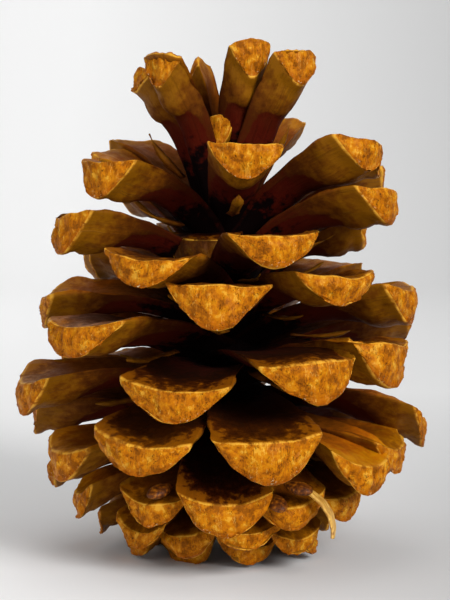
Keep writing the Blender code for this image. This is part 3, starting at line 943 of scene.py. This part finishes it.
# %% Finishes of the seeds
def seed_coat():
    """Hard seed coat: dark brown with paler flecks of about 0.6 mm, and a low shine."""
    material, tree = new_material("mottled_seed_coat")
    place = add(tree, "ShaderNodeTexCoord").outputs["Object"]
    flecks = add(tree, NOISE, {"Vector": place, "Scale": 1800, "Detail": 3.0})
    browns = ((0.36, "#3a1802"), (0.46, "#562903"), (0.56, "#6b3604"), (0.66, "#8e5208"))
    colour = add(tree, RAMP, {0: flecks}, stops=browns)
    bump = add(tree, "ShaderNodeBump", {"Strength": 0.4, "Distance": 0.0002, "Height": flecks})
    shader = add(
        tree,
        "ShaderNodeBsdfPrincipled",
        {"Base Color": colour, "Roughness": 0.5, "Normal": bump, "Specular IOR Level": 0.2},
    )
    add(tree, "ShaderNodeOutputMaterial", {"Surface": shader})
    return material


def dry_wing():
    """Papery seed wing: pale brown plant skin, with darker veins 0.24 mm wide along it."""
    material, tree = new_material("papery_seed_wing")
    place = add(tree, "ShaderNodeTexCoord").outputs["Object"]
    stretched = add(tree, "ShaderNodeMapping", {"Vector": place, "Scale": (700, 4200, 700)})
    veins = add(tree, NOISE, {"Vector": stretched, "Scale": 1.0, "Detail": 2.0})
    share = add(tree, RANGE, {0: veins, 1: 0.35, 2: 0.65})
    colour = add(tree, MIX, {0: share, 6: linear("#a06a1c"), 7: linear("#e0b050")}, data_type="RGBA")
    shader = add(tree, "ShaderNodeBsdfPrincipled", {"Base Color": colour, "Roughness": 0.5})
    add(tree, "ShaderNodeOutputMaterial", {"Surface": shader})
    return material


# %% Lay the seeds in their bowls
coat, paper = seed_coat(), dry_wing()
for name, spot in {**BARE_SEEDS, "winged_seed": WINGED_SEED}.items():
    piece = new_mesh_object(name + "_coat", seed_mesh(name + "_coat", *spot))
    piece.data.materials.append(coat)
    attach(piece, "root")
    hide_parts(name)
wing = new_mesh_object("seed_wing", wing_mesh("seed_wing"))
wing.data.materials.append(paper)
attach(wing, "root")
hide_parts("winged_seed")
print("seed wing", len(wing.data.polygons), "faces")


# %% [markdown]
# ## Floor, backdrop and light
#
# The photograph shows the cone cut out on a plain pale ground. A floor that curves up into a wall
# has no corner, so no line shows behind the cone. The wall stands well back, and the cone can be
# looked at from behind as well. The light is a large soft panel on the right, a weaker one on the
# left, one above and a pale world all round. One more panel, behind the cone and turned away from
# it, lights the wall.


# %% Stage
def stage_material():
    """Matt studio paper with painted shade: a little darker towards the right, as the photograph's ground is,
    and darker on the near right of the floor.
    """
    material, tree = new_material("pale_paper")
    place = add(tree, "ShaderNodeTexCoord").outputs["Object"]
    sides = add(tree, "ShaderNodeSeparateXYZ", {0: place}).outputs
    # Painted shade: the paper darkens towards the right.
    share = add(tree, RANGE, {0: sides["X"], 1: -0.09, 2: 0.15})
    tone = add(tree, MIX, {0: share, 6: linear("#fcfcfc"), 7: linear("#d8d8d8")}, data_type="RGBA")
    # Painted shade: the near floor darkens more, most towards the right.
    near = add(tree, RANGE, {0: sides["Y"], 1: 0.2, 2: -0.05})
    shade = add(tree, RANGE, {0: sides["X"], 1: 0.0, 2: 0.06, 3: 0.03, 4: 0.5})
    fade = add(tree, MATH, {0: near, 1: shade}, operation="MULTIPLY")
    light = add(tree, MATH, {0: 1.0, 1: fade}, operation="SUBTRACT")
    colour = add(tree, VECTOR_MATH, {0: tone, "Scale": light}, operation="SCALE")
    shader = add(tree, "ShaderNodeBsdfPrincipled", {"Base Color": colour, "Roughness": 0.9})
    add(tree, "ShaderNodeOutputMaterial", {"Surface": shader})
    return material


def sweep_mesh(radius=0.4, back=0.95, top=1.4, front=-1.2, half=2.0):
    """A floor that turns up into a wall behind the cone in a quarter circle."""
    line = [(front, 0.0), (back - radius, 0.0)]
    line += [
        (back - radius + radius * math.sin(a), radius - radius * math.cos(a))
        for a in np.linspace(0, math.pi / 2, 24)[1:]
    ]
    line.append((back, top))
    points = [(x, y, z) for y, z in line for x in (-half, half)]
    faces = [(2 * i, 2 * i + 1, 2 * i + 3, 2 * i + 2) for i in range(len(line) - 1)]
    mesh = bpy.data.meshes.new("sweep")
    mesh.from_pydata(points, [], faces)
    mesh.shade_smooth()
    return mesh


sweep = new_mesh_object("sweep", sweep_mesh())
sweep.data.materials.append(stage_material())

# %% Light
world = bpy.data.worlds.new("studio")
bpy.context.scene.world = world
world.use_nodes = True
world.node_tree.nodes["Background"].inputs["Color"].default_value = linear("#ffffff")
world.node_tree.nodes["Background"].inputs["Strength"].default_value = 0.36

# Where each panel is, what it faces, its side and its power in watts.
CONE_MIDDLE = (0, 0, 0.045)
PANELS = {
    "key": ((0.30, -0.42, 0.30), CONE_MIDDLE, 0.24, 3.15),
    "fill": ((-0.40, -0.38, 0.20), CONE_MIDDLE, 0.40, 0.7),
    "top": ((-0.05, 0.05, 0.55), CONE_MIDDLE, 0.35, 0.5),
    "wall": ((-0.10, 0.40, 0.55), (0.0, 0.95, 0.15), 0.5, 1.5),
}
for name, (place, faces, size, power) in PANELS.items():
    light = bpy.data.lights.new(name, "AREA")
    light.size = size
    light.energy = power
    lamp = bpy.data.objects.new(name, light)
    bpy.context.scene.collection.objects.link(lamp)
    lamp.location = place
    lamp.rotation_euler = (Vector(faces) - lamp.location).to_track_quat("-Z", "Y").to_euler()
bpy.context.scene.view_settings.view_transform = "Standard"
print("panels:", {name: power for name, (_, _, _, power) in PANELS.items()}, "W")


# %% [markdown]
# ## Sizes
#
# The finer pieces must not make the object larger than its solid model.

# %% Sizes and the last line
print("the scene is built")
